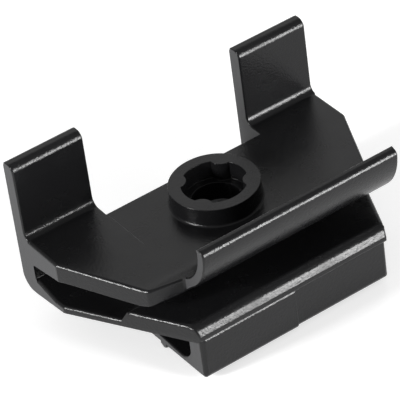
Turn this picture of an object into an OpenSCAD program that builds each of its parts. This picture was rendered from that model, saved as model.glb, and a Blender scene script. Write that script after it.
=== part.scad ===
// Bumper clip, one black moulded piece.
// X runs along the clip, the lip faces -Y and the bore axis is Z.
// The origin is on the bore axis, level with the top of the upper plate.

/* [Overall] */
// Length of the clip, end to end
length = 60; // [56:1:66]
// Bore axis to the back face
back_reach = 16.2; // [15.5:0.1:17]
// Plan angle of the slanted ends
end_angle = 23.7; // [20:0.1:27]
// Bore axis back to the start of the slanted ends
slant_start = 3.9; // [3:0.1:5]
// Thickness of the back wall
back_t = 4.4; // [4:0.1:4.8]

/* [Upper plate] */
// Thickness of the upper plate
plate_t = 3.65; // [3.2:0.05:4]
// Extra thickness where the plate joins the back wall
root_extra = 1.05; // [0.5:0.05:1.3]
// Bore axis back to the edge of the notch between the tabs
notch_edge = 9.45; // [9:0.05:10]
// Bore axis forward to the front corners of the slanted ends
corner_reach = 12.8; // [12:0.1:13.5]

/* [Lip] */
// Inner radius of the scoop
lip_r = 9; // [8.5:0.1:9.1]
// Thickness of the lip
lip_t = 1.85; // [1.5:0.05:2]
// Height of the lip above the plate
lip_h = 9.8; // [9.7:0.1:11]
// Bore axis forward to the start of the scoop
lip_start = 10.6; // [10:0.1:11]
// Steepest part of the underside
lip_foot_angle = 41.5; // [38:0.5:45]
// Left end of the lip, from the bore axis
lip_left = 16.8; // [15:0.1:18]
// Bore axis forward to the plate's edge beside the left end of the lip
lip_left_reach = 14.6; // [14:0.1:15.5]

/* [Tabs] */
// Width of a tab
tab_w = 14; // [12:0.1:16]
// Height of a tab above the plate
tab_h = 14.9; // [12:0.1:17]
// Thickness of a tab
tab_t = 3.05; // [2.8:0.05:3.4]

/* [Boss] */
// Outer radius of the boss
boss_r = 7.85; // [7.4:0.05:8.3]
// Height of the boss above the plate
boss_h = 3.45; // [2.5:0.05:4.5]
// Radius of the ribbed socket in the boss
socket_r = 5.65; // [5.4:0.05:6]
// Radius of the plain bore below the socket
bore_r = 4.25; // [3.5:0.05:4.4]
// Radius inside the tips of the ribs
rib_tip_r = 4.75; // [4.6:0.05:5]
// Angle of the back ribs from the length of the clip
back_rib_angle = 44; // [38:1:48]
// Angle of the front ribs from the length of the clip
front_rib_angle = 36; // [32:1:42]

/* [Lower arm] */
// Depth of the arm's underside at the back
arm_drop = 11.4; // [11:0.1:12]
// Slope of the arm's underside
arm_slope = 6; // [5:0.1:6.3]
// Bore axis forward to the front of the arm
arm_reach = 20.9; // [20.5:0.1:21.3]
// Depth of the raised grip at its front
grip_drop = 4.65; // [4.4:0.05:5]
// Slope of the grip's top
grip_slope = 5; // [4:0.1:6]
// Height of the arm's upright front, below the slope of the grip
front_h = 1.2; // [1.15:0.05:1.4]
// Lean of the grip's front slope
facet_angle = 23; // [20:1:26]
// Bore axis forward to the foot of the grip's step
step_reach = 6.9; // [6.5:0.1:8]

/* [Nose box] */
// Bore axis to the left end of the box
box_left = 19.1; // [17.5:0.05:19.1]
// Bore axis to the right end of the box
box_right = 19.2; // [17.5:0.05:19.2]
// Depth of the box's underside at the front
box_drop = 15.85; // [15:0.05:17]
// How much lower the underside is at the back
box_fall = 0.3; // [0:0.05:0.5]
// Bore axis back to the back wall of the box
box_back = 3; // [1:0.5:5]
// Thickness of the front wall
box_front_t = 3.9; // [3.2:0.1:4.4]
// Thickness of the bottom wall
box_bottom_t = 1.25; // [1:0.05:1.6]
// Radius of the corners at the ends of the box
box_end_r = 1; // [0.5:0.1:1.1]
// Step of the front face where the two mould halves meet
mould_step = 0.33; // [0.2:0.01:0.4]

/* [Hidden] */
$fn = 96;

half = length / 2;
// Length left over at each end by the slant, per unit of depth
slant = tan(end_angle);
// Height that lies inside the slot all along, between the two plans
split_z = -(plate_t + grip_drop) / 2;
// Taller than the whole clip
tall = 40;
// Length that carries a cut past a face
over = 1;
// Share by which the piece that rounds a corner runs past it
past_corner = 0.2;
// Angle at which a rounding arc crosses the two edges that it joins
blend_angle = 8;
// Radius in plan where a slanted end begins
end_corner_r = 3;

// Slot
slot_end = back_t - back_reach;
slot_top = -plate_t - root_extra;
slot_floor = -7.9;
root_taper_end = -2.9;
slot_r = 0.6;

// Lip
lip_outer_r = lip_r + lip_t;
scoop_centre = [lip_start, lip_r];
// The foot's underside ends a little inside the scoop's outer arc
foot_bite = 0.05;
foot_end = scoop_centre + (lip_outer_r - foot_bite) * [sin(lip_foot_angle), -cos(lip_foot_angle)];
foot_start = [foot_end[0] - (foot_end[1] + plate_t) / tan(lip_foot_angle), -plate_t];
foot_r = 8;
lip_front_r = 1.2;
lip_back_r = 0.5;
lip_corner_r = 1.8;
// Radius in plan between the lip's left end and the plate's edge
lip_root_r = 0.8;
lip_right = half - slant * (slant_start + corner_reach);

// Lower arm
arm_flat_end = -12.4;
arm_bottom_front = -arm_drop + (arm_reach - arm_flat_end) * tan(arm_slope);
arm_dip = [-6.1, -9.15];
step_foot = [step_reach, -7.95];
step_run = 1.3;
step_top_x = step_reach + step_run;
step_top = [step_top_x, -grip_drop - (arm_reach - step_top_x) * tan(grip_slope)];
facet_drop = -arm_bottom_front - front_h;
facet_h = (facet_drop - grip_drop) / (1 + tan(facet_angle) * tan(grip_slope));
facet_top = [arm_reach - facet_h * tan(facet_angle), facet_h - facet_drop];
bend_r = 3;
roll_r = 2.1;
facet_r = 1.2;
dip_r = 6;
step_r = 0.5;
heel_r = 0.7;

// Box
box_back_t = 1.8;
box_setback = 0.3;
box_top = arm_bottom_front + 0.6;
box_bury = -arm_drop + 2;
hollow_rise = 1.1;
hollow_back_r = 1;
hollow_front_r = 3.2;
box_back_r = 1.2;
box_front_r = 1.4;
box_top_r = 0.9;
bead_r = 0.8;
bead_at = [8.6, -box_drop + 0.2];

// Boss
rib_r = 2.1;
rib_bite = 0.5;
boss_fillet = 0.5;

// Tabs
tab_front = tab_t - back_reach;
tab_fillet = 1.5;
tab_corner_r = 0.3;
// Shares of the thickness, so that the top is nearly a full round
tab_top_front_r = 0.5 * tab_t;
tab_top_back_r = 0.39 * tab_t;
tab_root = 1;

// Geometry of a rounded corner q between its neighbours p and s
function unit(v) = v / norm(v);
function half_corner(p, q, s) = acos(unit(p - q) * unit(s - q)) / 2;
function inset(r) = r * cos(blend_angle);
function bisector(p, q, s) = unit(unit(p - q) + unit(s - q));
function corner_centre(p, q, s, r) = q + bisector(p, q, s) * inset(r) / sin(half_corner(p, q, s));
function corner_foot(p, q, s, r) = q + unit(p - q) * inset(r) / tan(half_corner(p, q, s));
function place(corner) = [corner[0], corner[1]];

// The sliver between a sharp corner q and its arc
module corner_sliver(p, q, s, r) {
    centre = corner_centre(p, q, s, r);
    difference() {
        polygon([
            corner_foot(p, q, s, r),
            q + past_corner * (q - centre),
            corner_foot(s, q, p, r),
            centre,
        ]);
        translate(centre) circle(r);
    }
}

// An outline of corners [across, up, radius], listed anticlockwise
module rounded(corners) {
    count = len(corners);
    before = [for (i = [0 : count - 1]) place(corners[(i + count - 1) % count])];
    here = [for (corner = corners) place(corner)];
    after = [for (i = [0 : count - 1]) place(corners[(i + 1) % count])];
    turns = [for (i = [0 : count - 1]) cross(here[i] - before[i], after[i] - here[i])];
    difference() {
        union() {
            polygon(here);
            for (i = [0 : count - 1])
                if (corners[i][2] > 0 && turns[i] < 0)
                    corner_sliver(before[i], here[i], after[i], corners[i][2]);
        }
        for (i = [0 : count - 1])
            if (corners[i][2] > 0 && turns[i] > 0)
                corner_sliver(before[i], here[i], after[i], corners[i][2]);
    }
}

// Runs a section, drawn with forward to the right, along the clip
module along(from, to) {
    translate([to, 0, 0]) rotate([90, 0, -90]) linear_extrude(to - from) children();
}

// Runs a plan, drawn with forward upwards, through a range of heights
module upright(from, to) {
    translate([0, 0, from]) linear_extrude(to - from) mirror([0, 1]) children();
}

// The C of upper plate, back wall and lower arm, without the lip
module c_section() {
    rounded([
        [-back_reach, -arm_drop, bend_r],
        [arm_flat_end, -arm_drop, 0],
        [arm_reach, arm_bottom_front, heel_r],
        [arm_reach, -facet_drop, facet_r],
        [facet_top[0], facet_top[1], roll_r],
        [step_top[0], step_top[1], step_r],
        [step_foot[0], step_foot[1], step_r],
        [arm_dip[0], arm_dip[1], dip_r],
        [slot_end, slot_floor, slot_r],
        [slot_end, slot_top, slot_r],
        [root_taper_end, -plate_t, 0],
        [lip_start, -plate_t, 0],
        [lip_start, 0, 0],
        [-back_reach, 0, 0],
    ]);
}

// The scoop that curves up from the plate's front
module lip_section() {
    front = lip_start + lip_outer_r;
    back = lip_start + lip_r;
    difference() {
        union() {
            polygon([scoop_centre, [lip_start, -plate_t], foot_start, foot_end]);
            intersection() {
                translate(scoop_centre) circle(lip_outer_r);
                translate([lip_start, -plate_t]) square([lip_outer_r + over, lip_r + plate_t]);
            }
            translate([back, lip_r]) square([lip_t, lip_h - lip_r]);
        }
        translate(scoop_centre) circle(lip_r);
        corner_sliver([front, 0], [front, lip_h], [back, lip_h], lip_front_r);
        corner_sliver([front, lip_h], [back, lip_h], [back, 0], lip_back_r);
    }
}

module body_section() {
    difference() {
        union() {
            c_section();
            lip_section();
        }
        corner_sliver([root_taper_end, -plate_t], foot_start, foot_end, foot_r);
    }
}

// Plan of the upper plate: the left end of the lip is cut back to the plate's edge
module upper_plan() {
    front = lip_start + lip_outer_r + over;
    rounded([
        [-half, -back_reach - over, 0],
        [half, -back_reach - over, 0],
        [half, -slant_start, end_corner_r],
        [lip_right, corner_reach, 0],
        [lip_right, front, 0],
        [-lip_left, front, 0],
        [-lip_left, lip_left_reach, lip_root_r],
        [-lip_right, corner_reach, lip_corner_r],
        [-half, -slant_start, end_corner_r],
    ]);
}

// Plan of the lower arm: both slanted ends run to the front
module lower_plan() {
    front = arm_reach + over;
    front_x = half - slant * (slant_start + front);
    rounded([
        [-half, -back_reach - over, 0],
        [half, -back_reach - over, 0],
        [half, -slant_start, end_corner_r],
        [front_x, front, 0],
        [-front_x, front, 0],
        [-half, -slant_start, end_corner_r],
    ]);
}

// Upper plate, lip, back wall and lower arm, with the notch between the tabs
module channel() {
    difference() {
        intersection() {
            along(-half, half) body_section();
            union() {
                upright(split_z, tall) upper_plan();
                upright(-tall, split_z) lower_plan();
            }
        }
        translate([tab_w - half, notch_edge, slot_floor])
            cube([length - 2 * tab_w, back_reach, tall]);
    }
}

// Section of a tab, with the fillet in front and the rounded top
module tab_section() {
    rounded([
        [-back_reach, -tab_root, 0],
        [tab_front + 2 * tab_fillet, -tab_root, 0],
        [tab_front + 2 * tab_fillet, 0, 0],
        [tab_front, 0, tab_fillet],
        [tab_front, tab_h, tab_top_front_r],
        [-back_reach, tab_h, tab_top_back_r],
    ]);
}

// The two tabs, with the top corners rounded as seen from the front
module tabs() {
    for (side = [-1, 1])
        translate([side * (half - tab_w / 2), 0, 0])
            intersection() {
                along(-tab_w / 2, tab_w / 2) tab_section();
                rotate([90, 0, 0])
                    linear_extrude(2 * tall, center = true)
                        rounded([
                            [-tab_w / 2, -tab_root - over, 0],
                            [tab_w / 2, -tab_root - over, 0],
                            [tab_w / 2, tab_h, tab_corner_r],
                            [-tab_w / 2, tab_h, tab_corner_r],
                        ]);
            }
}

// Closed box section under the grip, cored from both ends
module box_section(front) {
    inner_front = arm_reach - box_front_t;
    inner_bottom = -box_drop + box_bottom_t;
    difference() {
        rounded([
            [-box_back, box_bury, 0],
            [-box_back, -box_drop - box_fall, box_back_r],
            [front, -box_drop, box_front_r],
            [front, box_top, box_top_r],
            [front - 2 * box_top_r, box_top, 0],
        ]);
        rounded([
            [box_back_t - box_back, inner_bottom + hollow_rise, hollow_back_r],
            [inner_front, inner_bottom, hollow_front_r],
            [inner_front, box_top, 0],
            [box_back_t - box_back, box_bury, 0],
        ]);
    }
}

// Half of the box, from the middle to its right end, with rounded corners there and a bead below
module box_half(end, front) {
    fall_angle = atan(box_fall / (front + box_back));
    difference() {
        along(0, end) box_section(front);
        upright(-tall, 0) corner_sliver([0, front], [end, front], [end, 0], box_end_r);
        translate([0, -front, -box_drop])
            rotate([90 - fall_angle, 0, 0])
                linear_extrude(2 * tall, center = true)
                    corner_sliver([0, 0], [end, 0], [end, tall], box_end_r);
    }
    along(0, end) translate(bead_at) circle(bead_r);
}

// The left half of the front stands a little proud of the right half
module nose_box() {
    front = arm_reach - box_setback;
    mirror([1, 0, 0]) box_half(box_left, front + mould_step);
    box_half(box_right, front);
}

// Boss with a small fillet round its foot
module boss() {
    translate([0, 0, -plate_t / 2]) cylinder(r = boss_r, h = boss_h + plate_t / 2);
    rotate_extrude()
        difference() {
            translate([boss_r - boss_fillet, -boss_fillet]) square(2 * boss_fillet);
            translate([boss_r + inset(boss_fillet), inset(boss_fillet)]) circle(boss_fillet);
        }
}

// Four ribs that stand on the floor of the socket
module ribs() {
    intersection() {
        cylinder(r = socket_r + rib_bite, h = boss_h);
        for (angle = [back_rib_angle, 180 - back_rib_angle, 180 + front_rib_angle, -front_rib_angle])
            rotate(angle)
                translate([rib_tip_r + rib_r, 0, 0])
                    cylinder(r = rib_r, h = boss_h);
    }
}

module clip_body() {
    color("#1c1c1d")
        difference() {
            union() {
                difference() {
                    union() {
                        channel();
                        tabs();
                        nose_box();
                        boss();
                    }
                    cylinder(r = socket_r, h = tall);
                }
                ribs();
            }
            translate([0, 0, -plate_t - over]) cylinder(r = bore_r, h = tall);
        }
}

clip_body();
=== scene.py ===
"""Looks of a moulded bumper clip: broken edges, black nylon, a white studio and the camera."""

import math

import bmesh
import bpy
from bpy.props import FloatProperty, FloatVectorProperty, PointerProperty
from mathutils import Matrix, Vector


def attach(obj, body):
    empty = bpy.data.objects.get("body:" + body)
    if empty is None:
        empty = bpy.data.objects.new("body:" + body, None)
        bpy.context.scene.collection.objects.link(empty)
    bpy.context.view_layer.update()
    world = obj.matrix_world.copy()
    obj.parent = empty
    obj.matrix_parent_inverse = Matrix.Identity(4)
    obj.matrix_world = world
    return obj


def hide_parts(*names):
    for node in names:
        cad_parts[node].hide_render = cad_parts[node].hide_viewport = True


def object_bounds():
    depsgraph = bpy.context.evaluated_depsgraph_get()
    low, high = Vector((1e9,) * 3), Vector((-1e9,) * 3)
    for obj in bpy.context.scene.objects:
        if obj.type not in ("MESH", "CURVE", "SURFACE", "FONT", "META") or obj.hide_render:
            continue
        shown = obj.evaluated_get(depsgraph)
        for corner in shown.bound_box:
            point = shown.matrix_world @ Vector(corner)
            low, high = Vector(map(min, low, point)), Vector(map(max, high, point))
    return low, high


bl_info = {
    "name": "Bumper Clip",
    "version": (1, 0, 0),
    "blender": (4, 5, 0),
    "location": "View3D > Sidebar > Bumper Clip",
    "description": "Finishes a moulded bumper clip and stands it in a white studio",
    "category": "Object",
}

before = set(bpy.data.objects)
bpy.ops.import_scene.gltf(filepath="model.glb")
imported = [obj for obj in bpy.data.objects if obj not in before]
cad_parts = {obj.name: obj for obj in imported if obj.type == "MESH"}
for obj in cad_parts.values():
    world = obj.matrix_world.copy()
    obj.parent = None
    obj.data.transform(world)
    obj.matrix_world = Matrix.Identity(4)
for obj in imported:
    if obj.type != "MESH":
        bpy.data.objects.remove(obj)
CAD_LOW, CAD_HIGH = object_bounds()
BODY = "root"
SOLID = "clip_body"
MM = 0.001


def linear(hex_colour):
    """Linear RGBA of an sRGB hex colour."""
    channels = [int(hex_colour[i:i + 2], 16) / 255 for i in (1, 3, 5)]
    curved = [c / 12.92 if c <= 0.04045 else ((c + 0.055) / 1.055) ** 2.4 for c in channels]
    return (*curved, 1.0)


def add_node(tree, kind, inputs=None, **settings):
    """Adds a node; each input is a value, or the socket that feeds it."""
    node = tree.nodes.new(kind)
    for name, value in settings.items():
        setattr(node, name, value)
    for name, value in (inputs or {}).items():
        if isinstance(value, bpy.types.NodeSocket):
            tree.links.new(value, node.inputs[name])
        else:
            node.inputs[name].default_value = value
    return node


def new_material(name):
    """An empty node material and its tree."""
    material = bpy.data.materials.new(name)
    material.use_nodes = True
    material.node_tree.nodes.clear()
    return material, material.node_tree


def direction(azimuth, elevation):
    """Unit vector towards a compass angle (0 is the front, -Y) and a height angle."""
    level = math.cos(elevation)
    return Vector((math.sin(azimuth) * level, -math.cos(azimuth) * level, math.sin(elevation)))


class ClipFinish(bpy.types.PropertyGroup):
    """Edges and plastic of the clip."""

    rim_break: FloatProperty(
        name="Rim break",
        description="Width of the rounding along the top of the plate's and the lower arm's ends",
        default=0.65 * MM, min=0.1 * MM, max=0.8 * MM, unit="LENGTH", precision=6)
    edge_break: FloatProperty(
        name="Edge break", description="Width of the rounding on the other outer edges",
        default=0.33 * MM, min=0.05 * MM, max=0.5 * MM, unit="LENGTH", precision=6)
    fine_break: FloatProperty(
        name="Fine edge break", description="Width of the rounding on the boss and the mould's step",
        default=0.1 * MM, min=0.02 * MM, max=0.15 * MM, unit="LENGTH", precision=6)
    plastic_colour: FloatVectorProperty(
        name="Plastic", description="Colour of the black nylon",
        default=linear("#141415"), size=4, subtype="COLOR", min=0, max=1)
    # Painted light: a lighter grey on the faces that look along the clip, for the brighter look that
    # the side lamp gives them; the nylon itself is black all over
    end_painted_light: FloatVectorProperty(
        name="Dull ends", description="Colour of the duller nylon on the end faces",
        default=linear("#3f3f40"), size=4, subtype="COLOR", min=0, max=1)
    roughness: FloatProperty(
        name="Roughness", description="Satin finish left by the mould",
        default=0.25, min=0, max=1, subtype="FACTOR")
    end_roughness: FloatProperty(
        name="End roughness", description="Duller finish of the end faces",
        default=0.6, min=0, max=1, subtype="FACTOR")
    grain: FloatProperty(
        name="Grain", description="Width of the spark-eroded grain, as it is drawn",
        default=0.4 * MM, min=0.05 * MM, max=1 * MM, unit="LENGTH", precision=6)
    witness_width: FloatProperty(
        name="Witness line",
        description="Width of the line that the mould's insert left on the plate",
        default=0.12 * MM, min=0.05 * MM, max=0.4 * MM, unit="LENGTH", precision=6)
    witness_height: FloatProperty(
        name="Witness height", description="Height of that line above the plate",
        default=0.03 * MM, min=0.01 * MM, max=0.1 * MM, unit="LENGTH", precision=6)


class ClipStage(bpy.types.PropertyGroup):
    """Camera, light and floor."""

    azimuth: FloatProperty(
        name="Camera azimuth", description="Compass angle of the camera, 0 is the front",
        default=math.radians(-30.4), subtype="ANGLE")
    elevation: FloatProperty(
        name="Camera elevation", description="Height angle of the camera",
        default=math.radians(37.38), subtype="ANGLE")
    roll: FloatProperty(
        name="Camera roll", description="Lean of the camera about its line of sight",
        default=math.radians(-8.17), subtype="ANGLE")
    distance: FloatProperty(
        name="Camera distance", description="Camera to the aim point",
        default=525.15 * MM, unit="LENGTH")
    aim: FloatVectorProperty(
        name="Aim point", description="Point in the middle of the picture",
        default=(-2.37 * MM, 1.4 * MM, 0.02 * MM), size=3, subtype="TRANSLATION", unit="LENGTH")
    lens: FloatProperty(
        name="Lens", description="Focal length for a 36 mm sensor, in millimetres",
        default=282.7, min=1)
    floor_colour: FloatVectorProperty(
        name="Floor", description="Colour of the paper floor",
        default=linear("#e8e8e8"), size=4, subtype="COLOR", min=0, max=1)
    floor_glow: FloatProperty(
        name="Floor glow",
        description="Light that the floor adds where it is seen, to bring it to white",
        default=0.42, min=0, max=1)
    sky: FloatProperty(
        name="Surround", description="Strength of the white surround",
        default=0.3, min=0, max=2)


# How squarely a face looks along the clip where the end faces' painted light, a lighter grey, and
# their duller roughness start and are full
END_FACING = (0.94, 0.99)
# Reach of the boss along the clip, which keeps the common finish
BOSS_END = 9 * MM
# Height of the grain from its lowest to its highest point, its finer layers and their share of it
GRAIN_DEPTH = 0.05 * MM
GRAIN_LAYERS = 2.0
GRAIN_SHARE = 0.6
# Width of the patches where the plastic flowed evenly, their finer layers and those layers' share
FLOW_SIZE = 6 * MM
FLOW_LAYERS = 3.0
FLOW_SHARE = 0.55
# The part of that pattern's range that is used, and how far the roughness differs over it
FLOW_RANGE = (0.3, 0.7)
FLOW_SPREAD = 0.05
NYLON_IOR = 1.53
# Half the usual strength of reflection, for a surface that the grain has made dull
GRAIN_SPECULAR = 0.25
# Places of the colours among a Mix node's sockets
MIX_FIRST, MIX_SECOND, MIX_RESULT = 6, 7, 2


# Spark-eroded grain is about 0.1 mm wide. It is drawn some four times coarser, so that it shows.
def grain_relief(tree, place, finish):
    """Normals of the mould's grain."""
    grain = add_node(tree, "ShaderNodeTexNoise", {
        "Vector": place, "Scale": 1 / finish.grain, "Detail": GRAIN_LAYERS, "Roughness": GRAIN_SHARE})
    relief = add_node(tree, "ShaderNodeBump", {
        "Height": grain.outputs["Fac"], "Strength": 1.0, "Distance": GRAIN_DEPTH})
    return relief.outputs["Normal"]


# Black nylon, injection moulded: a dark satin that takes its shape from soft reflections.
# The mould's spark-eroded grain breaks up the highlights. The end faces are duller, and a lighter grey
# is painted on them as painted light from the side lamp.
def moulded_nylon(finish):
    """Material of the clip."""
    material, tree = new_material("moulded_black_nylon")
    own = add_node(tree, "ShaderNodeTexCoord").outputs
    place = own["Object"]
    flow = add_node(tree, "ShaderNodeTexNoise", {
        "Vector": place, "Scale": 1 / FLOW_SIZE, "Detail": FLOW_LAYERS, "Roughness": FLOW_SHARE})
    sheen = add_node(tree, "ShaderNodeMapRange", {
        "Value": flow.outputs["Fac"], "From Min": FLOW_RANGE[0], "From Max": FLOW_RANGE[1],
        "To Min": finish.roughness - FLOW_SPREAD, "To Max": finish.roughness + FLOW_SPREAD})
    facing = add_node(tree, "ShaderNodeSeparateXYZ", {"Vector": own["Normal"]})
    sideways = add_node(tree, "ShaderNodeMath", {0: facing.outputs["X"]}, operation="ABSOLUTE")
    is_end = add_node(tree, "ShaderNodeMapRange", {
        "Value": sideways.outputs[0], "From Min": END_FACING[0], "From Max": END_FACING[1]})
    along = add_node(tree, "ShaderNodeSeparateXYZ", {"Vector": place})
    from_middle = add_node(tree, "ShaderNodeMath", {0: along.outputs["X"]}, operation="ABSOLUTE")
    past_boss = add_node(tree, "ShaderNodeMath", {0: from_middle.outputs[0], 1: BOSS_END},
                         operation="GREATER_THAN")
    dull_and_painted_light = add_node(tree, "ShaderNodeMath", {0: is_end.outputs["Result"], 1: past_boss.outputs[0]},
                    operation="MULTIPLY")
    # The end faces get the lighter grey as painted light; the duller roughness below is their finish
    colour = add_node(tree, "ShaderNodeMix", {
        0: dull_and_painted_light.outputs[0], MIX_FIRST: finish.plastic_colour, MIX_SECOND: finish.end_painted_light},
        data_type="RGBA")
    satin = add_node(tree, "ShaderNodeMapRange", {
        "Value": dull_and_painted_light.outputs[0], "To Min": sheen.outputs["Result"], "To Max": finish.end_roughness})
    shader = add_node(tree, "ShaderNodeBsdfPrincipled", {
        "Base Color": colour.outputs[MIX_RESULT], "Roughness": satin.outputs["Result"],
        "IOR": NYLON_IOR, "Specular IOR Level": GRAIN_SPECULAR,
        "Normal": grain_relief(tree, place, finish)})
    add_node(tree, "ShaderNodeOutputMaterial", {"Surface": shader.outputs["BSDF"]})
    return material


# Black nylon on the mould's witness line: dull as on the end faces, and painted their lighter grey as
# a painted highlight along the line.
def witness_nylon_painted_highlight(finish):
    """Material of the fine line on the plate."""
    material, tree = new_material("witness_line_painted_highlight")
    place = add_node(tree, "ShaderNodeTexCoord").outputs["Object"]
    # The lighter grey here is a painted highlight along the ridge
    shader = add_node(tree, "ShaderNodeBsdfPrincipled", {
        "Base Color": finish.end_painted_light, "Roughness": finish.end_roughness, "IOR": NYLON_IOR,
        "Specular IOR Level": GRAIN_SPECULAR, "Normal": grain_relief(tree, place, finish)})
    add_node(tree, "ShaderNodeOutputMaterial", {"Surface": shader.outputs["BSDF"]})
    return material


# Matt white paper: evens out the light, keeps a soft shadow and is seen as white.
def white_paper(stage):
    """Material of the floor."""
    material, tree = new_material("white_paper")
    path = add_node(tree, "ShaderNodeLightPath").outputs
    seen = add_node(tree, "ShaderNodeMath", {0: path["Is Camera Ray"], 1: path["Is Glossy Ray"]},
                    operation="MAXIMUM")
    seen_at_all = add_node(tree, "ShaderNodeMath",
                           {0: seen.outputs[0], 1: path["Is Transmission Ray"]}, operation="MAXIMUM")
    glow = add_node(tree, "ShaderNodeMath", {0: seen_at_all.outputs[0], 1: stage.floor_glow},
                    operation="MULTIPLY")
    paper = add_node(tree, "ShaderNodeBsdfDiffuse", {"Color": stage.floor_colour})
    light = add_node(tree, "ShaderNodeEmission", {"Strength": glow.outputs[0]})
    both = add_node(tree, "ShaderNodeAddShader", {0: paper.outputs[0], 1: light.outputs[0]})
    add_node(tree, "ShaderNodeOutputMaterial", {"Surface": both.outputs[0]})
    return material


# Edges that turn more than this are rounded
SHARP = math.radians(28)
# Faces that turn less than this are joined
FLAT = math.radians(0.4)
# Faces that meet at a larger angle than this are shaded apart
CREASE = math.radians(40)
# Corners that are nearer to each other than this are one
WELD = 0.01 * MM
# Flats across a rounding, and the profile that makes it an arc
BREAK_STEPS = 4
ARC_PROFILE = 0.5
# A face beside a broken edge is at least this many breaks wide
ROOM = 2.2
# The boss and its socket lie inside this radius, above the plate
BOSS_RADIUS = 8.6 * MM
BOSS_FOOT = -1 * MM
# Top edges of the plate's two ends, outside the notch and below the tabs and the lip,
# and those of the lower arm's ends
RIM_START = 16.9 * MM
PLATE_TOP = (-0.05 * MM, 0.9 * MM)
ARM_TOP = (-9.5 * MM, -4.5 * MM)
# How far the normal of a top face points up
UPWARD = 0.9
# Shorter edges lie on tight arcs, where a rounding would fold over itself, and stay sharp
SHORTEST = 0.095 * MM
# The step where the mould's two halves met lies within this distance of the clip's middle
STEP_REACH = 0.05 * MM


def reach_across(edge, face):
    """How far a face runs away from one of its edges."""
    start = edge.verts[0].co
    along = (edge.verts[1].co - start).normalized()
    return max((v.co - start - along * (v.co - start).dot(along)).length for v in face.verts)


def middle_of(edge):
    """The point halfway along an edge."""
    return (edge.verts[0].co + edge.verts[1].co) / 2


def is_rim(edge):
    """Whether an edge runs along the top of one of the plate's or the lower arm's ends."""
    middle = middle_of(edge)
    upper = max(face.normal.z for face in edge.link_faces)
    level = any(low < middle.z < high for low, high in (PLATE_TOP, ARM_TOP))
    return upper > UPWARD and abs(middle.x) > RIM_START and level


def on_boss(edge):
    """Whether an edge belongs to the boss or its socket."""
    middle = middle_of(edge)
    return middle.xy.length < BOSS_RADIUS and middle.z > BOSS_FOOT


def on_step(edge):
    """Whether an edge belongs to the step where the mould's two halves met."""
    return all(abs(vert.co.x) < STEP_REACH for vert in edge.verts) and not on_boss(edge)


def sharp_edges(bm, width, rounded):
    """The sharp edges with room for a rounding, apart from those of earlier roundings."""
    found = []
    for edge in bm.edges:
        if not edge.is_manifold or edge.calc_face_angle(0) < SHARP:
            continue
        if any(face in rounded for face in edge.link_faces):
            continue
        if min(reach_across(edge, face) for face in edge.link_faces) > ROOM * width:
            found.append(edge)
    return found


def round_edges(bm, edges, width, rounded):
    """Rounds edges and adds the faces of the rounding to those made earlier."""
    made = bmesh.ops.bevel(bm, geom=edges, affect="EDGES", offset=width, offset_type="OFFSET",
                           segments=BREAK_STEPS, profile=ARC_PROFILE,
                           clamp_overlap=False, loop_slide=False)
    rounded.update(made["faces"])


def break_edges(mesh_data, finish):
    """Rounds the rim of the ends, the other outer edges, then finely the boss and the mould's step."""
    bm = bmesh.new()
    bm.from_mesh(mesh_data)
    bmesh.ops.remove_doubles(bm, verts=bm.verts, dist=WELD)
    bmesh.ops.dissolve_limit(bm, angle_limit=FLAT, verts=bm.verts, edges=bm.edges)
    rounded = set()
    rim = [edge for edge in sharp_edges(bm, finish.rim_break, rounded)
           if edge.is_convex and is_rim(edge)]
    round_edges(bm, rim, finish.rim_break, rounded)
    outer = [edge for edge in sharp_edges(bm, finish.edge_break, rounded)
             if edge.is_convex and edge.calc_length() > SHORTEST
             and not on_boss(edge) and not on_step(edge)]
    round_edges(bm, outer, finish.edge_break, rounded)
    fine = [edge for edge in sharp_edges(bm, finish.fine_break, rounded)
            if on_boss(edge) or (edge.is_convex and on_step(edge))]
    round_edges(bm, fine, finish.fine_break, rounded)
    for face in bm.faces:
        face.smooth = True
    for edge in bm.edges:
        edge.smooth = edge.calc_face_angle(0) < CREASE
    finished = bpy.data.meshes.new("clip_moulding")
    bm.to_mesh(finished)
    bm.free()
    return finished


class CLIP_OT_moulding(bpy.types.Operator):
    """Make the clip's moulded body from its solid, with broken edges"""

    bl_idname = "clip.moulding"
    bl_label = "Moulding"

    def execute(self, context):
        finish = context.scene.clip_finish
        mesh = break_edges(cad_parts[SOLID].data, finish)
        mesh.materials.append(moulded_nylon(finish))
        moulding = bpy.data.objects.new("clip_moulding", mesh)
        context.scene.collection.objects.link(moulding)
        moulding.modifiers.new("flat faces stay flat", "WEIGHTED_NORMAL").keep_sharp = True
        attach(moulding, BODY)
        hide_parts(SOLID)
        return {"FINISHED"}


# The line that the mould's insert left on the plate runs forwards from the left corner of the notch
WITNESS_X = -16 * MM
WITNESS_BACK, WITNESS_FRONT = 8.9 * MM, -1.9 * MM
# Length of its tapered ends, what is left of it at their tips, and how deep its foot is sunk
WITNESS_TAPER = 1.5 * MM
WITNESS_TIP = 0.2
WITNESS_ROOT = 0.05 * MM
# Flats across its round top
WITNESS_STEPS = 6


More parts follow.
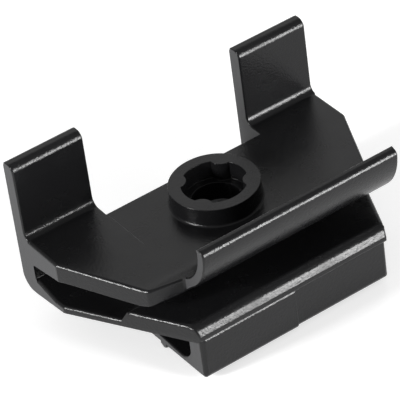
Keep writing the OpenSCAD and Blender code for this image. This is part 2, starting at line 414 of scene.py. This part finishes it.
def witness_ridge(finish):
    """A low rounded ridge with tapered ends."""
    bm = bmesh.new()
    rings = []
    for y, share in ((WITNESS_BACK, WITNESS_TIP), (WITNESS_BACK - WITNESS_TAPER, 1),
                     (WITNESS_FRONT + WITNESS_TAPER, 1), (WITNESS_FRONT, WITNESS_TIP)):
        half, height = finish.witness_width / 2 * share, finish.witness_height * share
        turns = [math.pi * step / WITNESS_STEPS for step in range(WITNESS_STEPS + 1)]
        outline = [(half * math.cos(turn), height * math.sin(turn)) for turn in turns]
        outline += [(-half, -WITNESS_ROOT), (half, -WITNESS_ROOT)]
        rings.append([bm.verts.new((WITNESS_X + x, y, z)) for x, z in outline])
    for ring, following in zip(rings, rings[1:]):
        for i in range(len(ring)):
            bm.faces.new((ring[i - 1], ring[i], following[i], following[i - 1]))
    bm.faces.new(rings[0])
    bm.faces.new(rings[-1])
    bmesh.ops.recalc_face_normals(bm, faces=bm.faces)
    mesh = bpy.data.meshes.new("witness_line")
    bm.to_mesh(mesh)
    bm.free()
    return mesh


class CLIP_OT_witness_line(bpy.types.Operator):
    """Make the fine line that the mould's insert left on the plate"""

    bl_idname = "clip.witness_line"
    bl_label = "Witness line"

    def execute(self, context):
        finish = context.scene.clip_finish
        mesh = witness_ridge(finish)
        mesh.materials.append(witness_nylon_painted_highlight(finish))
        line = bpy.data.objects.new("witness_line", mesh)
        context.scene.collection.objects.link(line)
        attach(line, BODY)
        return {"FINISHED"}


# The softboxes: compass and height angle in degrees, distance, size, and how bright each looks
SOFTBOXES = (
    {"name": "front_softbox", "azimuth": 26, "elevation": 11, "distance": 500 * MM,
     "width": 130 * MM, "height": 220 * MM, "radiance": 37},
    {"name": "left_softbox", "azimuth": -96, "elevation": 18, "distance": 500 * MM,
     "width": 90 * MM, "height": 120 * MM, "radiance": 80},
    {"name": "back_softbox", "azimuth": 150, "elevation": 40, "distance": 700 * MM,
     "width": 600 * MM, "height": 500 * MM, "radiance": 0.68},
)
# The nearest and farthest that the camera sees
SIGHT = (10 * MM, 20000 * MM)
# From the floor's middle to its sides
FLOOR_REACH = 4000 * MM
WHITE = (1, 1, 1, 1)


def add_softbox(name, azimuth, elevation, distance, width, height, radiance):
    """A soft area lamp that faces the clip."""
    lamp = bpy.data.lights.new(name, "AREA")
    lamp.shape = "RECTANGLE"
    lamp.size = width
    lamp.size_y = height
    lamp.energy = radiance * math.pi * width * height
    softbox = bpy.data.objects.new(name, lamp)
    towards = direction(math.radians(azimuth), math.radians(elevation))
    softbox.location = towards * distance
    softbox.rotation_mode = "QUATERNION"
    softbox.rotation_quaternion = towards.to_track_quat("Z", "Y")
    bpy.context.scene.collection.objects.link(softbox)


def add_camera(stage):
    """The camera at the photograph's viewing angle, with its lean."""
    back = direction(stage.azimuth, stage.elevation)
    right = Vector((0, 0, 1)).cross(back).normalized()
    turned = Matrix.Rotation(stage.roll, 3, back) @ right
    up = back.cross(turned)
    data = bpy.data.cameras.new("camera")
    data.lens = stage.lens
    data.clip_start, data.clip_end = SIGHT
    camera = bpy.data.objects.new("camera", data)
    axes = Matrix((turned, up, back)).transposed().to_4x4()
    camera.matrix_world = Matrix.Translation(Vector(stage.aim) + back * stage.distance) @ axes
    bpy.context.scene.collection.objects.link(camera)
    bpy.context.scene.camera = camera


def add_floor(stage):
    """A wide paper floor under the clip."""
    bm = bmesh.new()
    bmesh.ops.create_grid(bm, x_segments=1, y_segments=1, size=FLOOR_REACH)
    mesh = bpy.data.meshes.new("floor")
    bm.to_mesh(mesh)
    bm.free()
    mesh.materials.append(white_paper(stage))
    floor = bpy.data.objects.new("floor", mesh)
    floor.location.z = CAD_LOW.z
    bpy.context.scene.collection.objects.link(floor)


def add_surround(stage):
    """An even white surround."""
    world = bpy.data.worlds.new("surround")
    world.use_nodes = True
    tree = world.node_tree
    tree.nodes.clear()
    glow = add_node(tree, "ShaderNodeBackground", {"Color": WHITE, "Strength": stage.sky})
    add_node(tree, "ShaderNodeOutputWorld", {"Surface": glow.outputs[0]})
    bpy.context.scene.world = world


class CLIP_OT_stage(bpy.types.Operator):
    """Set up the floor, the softboxes, the surround and the camera"""

    bl_idname = "clip.stage"
    bl_label = "Studio"

    def execute(self, context):
        stage = context.scene.clip_stage
        add_floor(stage)
        add_surround(stage)
        for softbox in SOFTBOXES:
            add_softbox(**softbox)
        add_camera(stage)
        context.scene.view_settings.view_transform = "Standard"
        return {"FINISHED"}


class CLIP_PT_panel(bpy.types.Panel):
    """Sidebar panel with the clip's settings and steps"""

    bl_idname = "CLIP_PT_panel"
    bl_label = "Bumper Clip"
    bl_space_type = "VIEW_3D"
    bl_region_type = "UI"
    bl_category = "Bumper Clip"

    def draw(self, context):
        for settings in (context.scene.clip_finish, context.scene.clip_stage):
            box = self.layout.box()
            for name in settings.__annotations__:
                box.prop(settings, name)
        for operator in (CLIP_OT_moulding, CLIP_OT_witness_line, CLIP_OT_stage):
            self.layout.operator(operator.bl_idname)


CLASSES = (ClipFinish, ClipStage, CLIP_OT_moulding, CLIP_OT_witness_line, CLIP_OT_stage, CLIP_PT_panel)


def register():
    for cls in CLASSES:
        bpy.utils.register_class(cls)
    bpy.types.Scene.clip_finish = PointerProperty(type=ClipFinish)
    bpy.types.Scene.clip_stage = PointerProperty(type=ClipStage)


def unregister():
    del bpy.types.Scene.clip_stage
    del bpy.types.Scene.clip_finish
    for cls in reversed(CLASSES):
        bpy.utils.unregister_class(cls)


def main():
    register()
    bpy.ops.clip.moulding()
    bpy.ops.clip.witness_line()
    bpy.ops.clip.stage()


if __name__ == "__main__":
    main()
